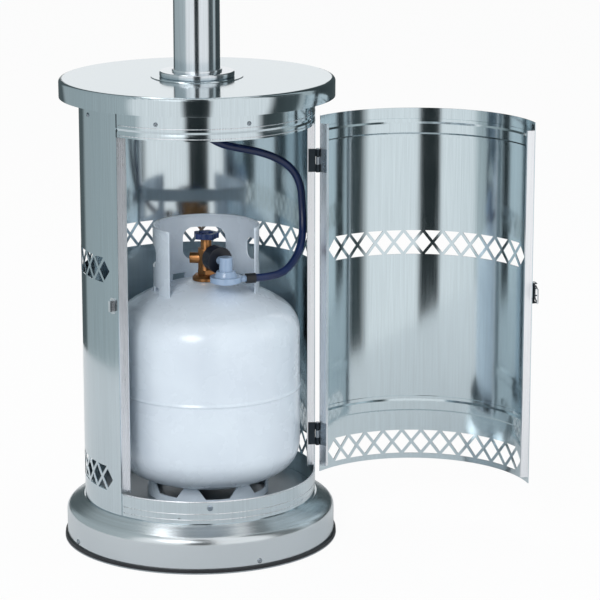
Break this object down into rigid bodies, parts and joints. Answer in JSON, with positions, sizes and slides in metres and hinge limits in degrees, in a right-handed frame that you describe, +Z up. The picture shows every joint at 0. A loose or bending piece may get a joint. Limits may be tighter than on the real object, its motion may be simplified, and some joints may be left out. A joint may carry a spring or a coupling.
{
  "type": "patio heater",
  "caption": "Free-standing gas patio heater with a round base, a cylinder cabinet with an open swing door and a gas bottle, a round table, a post and a reflector over the burner.",
  "frame": {"origin": "on the floor, on the heater's vertical axis, under the middle of the base plate", "axes": "+Z up along the post, -Y towards the side that the closed door faces, +X to the right seen from the front"},
  "size_m": [0.883, 0.8128, 2.2149],
  "materials": {
    "sheet_steel": "vertical brushed stainless sheet",
    "door_steel": "brushed stainless sheet",
    "edge_steel": "bright folded stainless edge",
    "cover_steel": "spun stainless",
    "plate_steel": "coated steel sheet",
    "zinc": "zinc plated",
    "dark_zinc": "dark plated steel",
    "bright_wire": "nickel plated wire",
    "trim_rubber": "black edge trim",
    "bottle_paint": "pale gloss enamel",
    "brass": "machined brass",
    "wheel_plastic": "dark blue moulding",
    "nut_plastic": "black moulding",
    "regulator_paint": "grey blue paint on a die casting",
    "hose_rubber": "dark blue rubber hose",
    "ferrule_rubber": "black strain sleeve",
    "post_steel": "brushed stainless tube",
    "cast": "heat darkened casting",
    "emitter_steel": "heat toned stainless screen",
    "valve_alloy": "die cast alloy",
    "switch_plastic": "black housing",
    "knob_plastic": "black knob",
    "button_plastic": "black button",
    "spun_aluminium": "spun aluminium"
  },
  "bodies": {
    "heater": {"base_plate": "plate_steel", "edge_trim": "trim_rubber", "base_cover": "cover_steel", "base_screws": "zinc", "floor_plate": "plate_steel", "bottom_band": "sheet_steel", "top_band": "sheet_steel", "cabinet_shell": "sheet_steel", "left_jamb": "edge_steel", "right_jamb": "edge_steel", "band_screws": "zinc", "frame_hinge_leaves": "dark_zinc", "hinge_pins": "zinc", "latch_keeper": "bright_wire", "top_plate": "plate_steel", "table_top": "sheet_steel", "post_flange": "post_steel", "flange_bolts": "zinc", "lower_post": "post_steel", "upper_post": "post_steel", "post_sleeve": "post_steel", "gas_pipe": "valve_alloy", "head_base": "post_steel", "head_housing": "post_steel", "burner_plate": "post_steel", "burner": "cast", "emitter_screen": "emitter_steel", "emitter_cap": "emitter_steel", "pilot": "zinc", "control_valve": "valve_alloy", "burner_jet": "brass", "tilt_switch": "switch_plastic", "igniter_body": "switch_plastic", "reflector": "spun_aluminium", "reflector_studs": "zinc", "wing_nuts": "zinc", "bottle_vessel": "bottle_paint", "bottle_foot": "bottle_paint", "bottle_collar": "bottle_paint", "valve_boss": "brass", "valve_body": "brass", "regulator": "regulator_paint", "hose_ferrules": "ferrule_rubber", "hose_union": "brass", "gas_hose": "hose_rubber"},
    "door": {"door_skin": "door_steel", "door_free_flange": "edge_steel", "door_hinge_flange": "edge_steel", "door_top_rib": "edge_steel", "door_low_rib": "edge_steel", "door_hinge_leaves": "zinc", "latch_plate": "dark_zinc"},
    "latch_lever": {"latch_lever": "dark_zinc"},
    "latch_bail": {"latch_bail": "bright_wire"},
    "hand_wheel": {"hand_wheel": "wheel_plastic"},
    "coupling_nut": {"coupling_nut": "nut_plastic"},
    "control_spindle": {"control_spindle": "zinc"},
    "control_knob": {"control_knob": "knob_plastic"},
    "igniter_button": {"igniter_button": "button_plastic"}
  },
  "joints": [
    {"name": "door_swing", "type": "hinge", "parent": "heater", "child": "door", "pos_m": [0.18038, -0.08026, 0.4], "axis": [0, 0, 1], "range_deg": [-141.4, 23.6]},
    {"name": "latch_lever_swing", "type": "hinge", "parent": "door", "child": "latch_lever", "pos_m": [0.46764, -0.29592, 0.425], "axis": [0, 0, -1], "range_deg": [0, 150]},
    {"name": "latch_bail_swing", "type": "hinge", "parent": "latch_lever", "child": "latch_bail", "pos_m": [0.47381, -0.29092, 0.425], "axis": [0, 0, -1], "range_deg": [-150, 0]},
    {"name": "hand_wheel_turn", "type": "hinge", "parent": "heater", "child": "hand_wheel", "pos_m": [0.011, -0.006, 0.51], "axis": [0, 0, 1], "range_deg": [0, 1080]},
    {"name": "coupling_nut_turn", "type": "hinge", "parent": "heater", "child": "coupling_nut", "pos_m": [0.011, -0.048, 0.479], "axis": [0, -1, 0], "range_deg": [0, 1440]},
    {"name": "control_spindle_push", "type": "slide", "parent": "heater", "child": "control_spindle", "axis": [0, 1, 0], "range_m": [0, 0.003], "stiffness_N_per_m": 1500},
    {"name": "control_knob_turn", "type": "hinge", "parent": "control_spindle", "child": "control_knob", "pos_m": [0, -0.107, 1.8107], "axis": [0, -1, 0], "range_deg": [0, 180]},
    {"name": "igniter_push", "type": "slide", "parent": "heater", "child": "igniter_button", "axis": [-0.5592, 0.829, 0], "range_m": [0, 0.005], "stiffness_N_per_m": 1200}
  ],
  "couplings": [
    {"joint": "latch_bail_swing", "follows": "latch_lever_swing", "ratio": -1}
  ]
}
